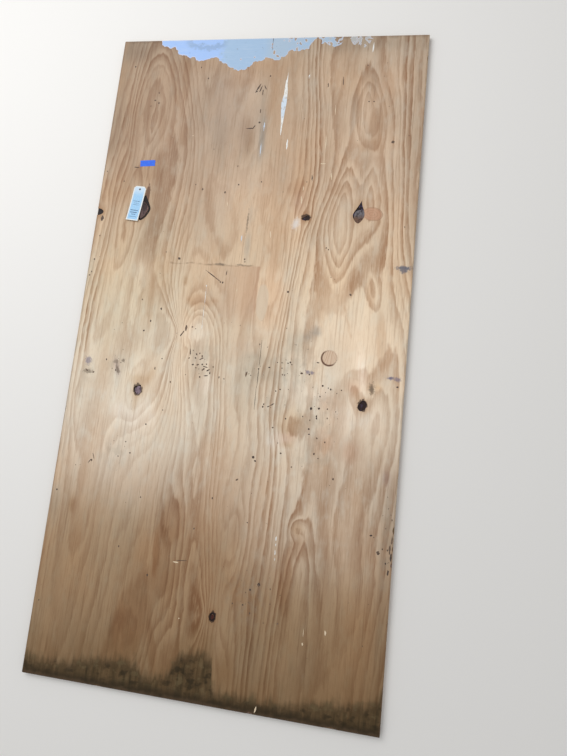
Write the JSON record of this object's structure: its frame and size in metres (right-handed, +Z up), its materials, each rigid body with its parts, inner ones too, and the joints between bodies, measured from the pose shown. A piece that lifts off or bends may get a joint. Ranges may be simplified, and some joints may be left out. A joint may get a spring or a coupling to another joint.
{
  "type": "plywood sheet",
  "caption": "Weathered softwood plywood sheet lying flat: open knots, a veneer plug, worn rims, paint along one end, damp stain at the other, tape and a nailed paper tag.",
  "frame": {"origin": "centre of the underside, on the floor", "axes": "+Z up out of the worn face, +Y along the face grain towards the painted end, +X across the sheet to the right when the painted end is furthest away"},
  "size_m": [1.2192, 2.4384, 0.0237],
  "materials": {
    "face_wood": "bare, worn and dirty softwood veneer, matt",
    "plug_wood": "bare softwood veneer, matt",
    "crepe_tape": "blue crepe paper, matt",
    "tag_card": "thin white card with a pale blue panel",
    "nail_steel": "dull rusted steel"
  },
  "bodies": {
    "root": {"plywood_sheet": "face_wood", "round_plug": "plug_wood", "tape_strip": "crepe_tape", "paper_tag": "tag_card", "tag_nail": "nail_steel"}
  },
  "joints": []
}
